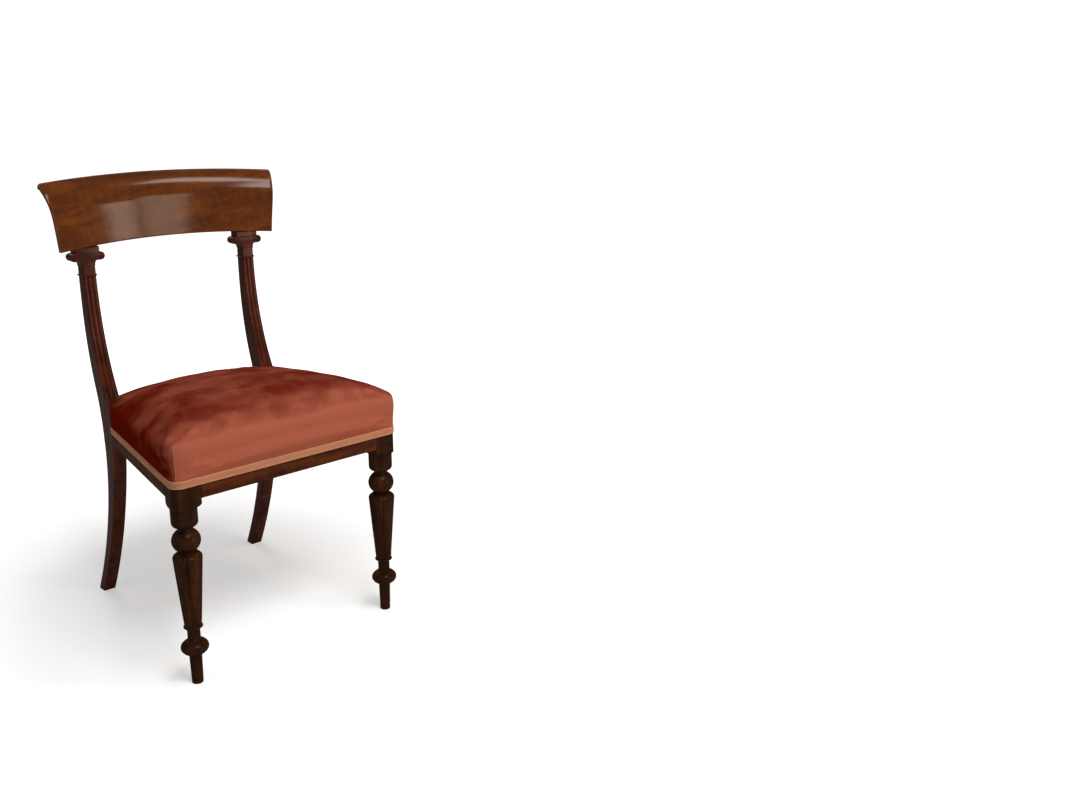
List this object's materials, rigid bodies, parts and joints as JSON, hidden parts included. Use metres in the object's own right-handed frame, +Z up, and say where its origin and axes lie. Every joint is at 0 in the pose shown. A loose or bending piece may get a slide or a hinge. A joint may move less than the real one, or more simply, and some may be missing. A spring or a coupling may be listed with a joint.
{
  "type": "dining chair",
  "caption": "Mahogany bar-back dining chair with a curved crest rail, reeded sabre back posts, turned front legs and a stuffed-over velvet seat.",
  "frame": {"origin": "on the floor, at the middle of the chair's width and of its depth from the seat's front to the heels of the back feet", "axes": "+Z up; the sitter faces -Y; +X is the sitter's left"},
  "size_m": [0.4844, 0.5208, 0.869],
  "materials": {
    "mahogany": "french polished, reddish brown",
    "dark_mahogany": "french polished, dark brown",
    "beech": "bare, sawn",
    "screw_steel": "plain countersunk wood screws",
    "velvet": "brick red velvet with a brushed nap",
    "gimp": "tan woven gimp braid",
    "webbing": "woven jute webbing",
    "hessian": "plain woven jute cloth",
    "stuffing": "horsehair under calico"
  },
  "bodies": {
    "root": {"crest_rail": "mahogany", "back_post_left": "dark_mahogany", "front_leg_left": "dark_mahogany", "side_seat_rail_left": "mahogany", "corner_block_front_left": "beech", "corner_screw_front_into_front_rail_left": "screw_steel", "corner_screw_front_into_side_rail_left": "screw_steel", "corner_block_back_left": "beech", "corner_screw_back_into_back_rail_left": "screw_steel", "corner_screw_back_into_side_rail_left": "screw_steel", "back_post_right": "dark_mahogany", "front_leg_right": "dark_mahogany", "side_seat_rail_right": "mahogany", "corner_block_front_right": "beech", "corner_screw_front_into_front_rail_right": "screw_steel", "corner_screw_front_into_side_rail_right": "screw_steel", "corner_block_back_right": "beech", "corner_screw_back_into_back_rail_right": "screw_steel", "corner_screw_back_into_side_rail_right": "screw_steel", "front_seat_rail": "mahogany", "back_seat_rail": "mahogany", "web_lengthways_1": "webbing", "web_crossways_1": "webbing", "web_lengthways_2": "webbing", "web_crossways_2": "webbing", "web_lengthways_3": "webbing", "web_crossways_3": "webbing", "web_lengthways_4": "webbing", "web_crossways_4": "webbing", "hessian_base": "hessian", "seat_stuffing": "stuffing", "velvet_cover": "velvet", "gimp_front_and_sides": "gimp", "gimp_back": "gimp"}
  },
  "joints": []
}
